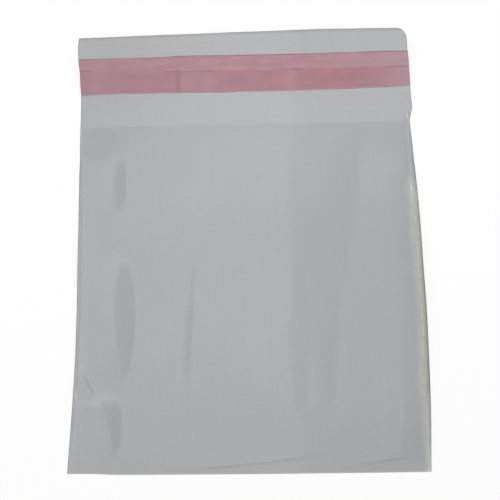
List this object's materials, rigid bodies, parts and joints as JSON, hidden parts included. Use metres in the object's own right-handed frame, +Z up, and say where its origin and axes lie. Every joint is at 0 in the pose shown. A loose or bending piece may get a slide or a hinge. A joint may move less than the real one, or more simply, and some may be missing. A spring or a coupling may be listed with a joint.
{
  "type": "cd sleeve",
  "caption": "Flat film sleeve for a compact disc: folded, side-welded pocket with an open mouth, and a curled flap with peel-off tape over its adhesive.",
  "frame": {"origin": "under the middle of the sleeve, on the table that its back panel lies on", "axes": "+Z up out of the back panel, +Y from the bottom fold towards the flap, +X across the sleeve"},
  "size_m": [0.1316, 0.167, 0.0056],
  "materials": {
    "film": "gloss",
    "adhesive": "satin",
    "liner": "satin"
  },
  "bodies": {
    "root": {"film_pouch": "film", "adhesive_strip": "adhesive", "release_liner": "liner"}
  },
  "joints": []
}
